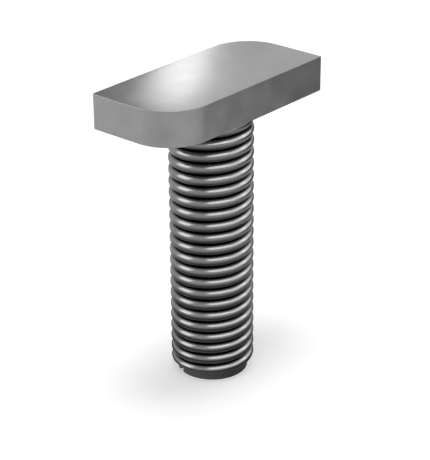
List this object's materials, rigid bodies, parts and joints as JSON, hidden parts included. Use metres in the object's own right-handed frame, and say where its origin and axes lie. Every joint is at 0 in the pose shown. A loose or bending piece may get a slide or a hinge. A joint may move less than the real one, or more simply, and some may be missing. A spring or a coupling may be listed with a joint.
{
  "type": "t-bolt",
  "caption": "Hammer-head T-bolt: a flat head with two opposite rounded corners on a threaded shank that stands on its flat end.",
  "frame": {"origin": "centre of the shank's flat end face, on which the bolt stands", "axes": "+Z along the shank towards the head, +X along the head's long direction"},
  "size_m": [0.031, 0.0144, 0.045],
  "materials": {
    "steel": "satin grey bare steel, smoother on the thread"
  },
  "bodies": {
    "root": {"t_bolt": "steel"}
  },
  "joints": []
}
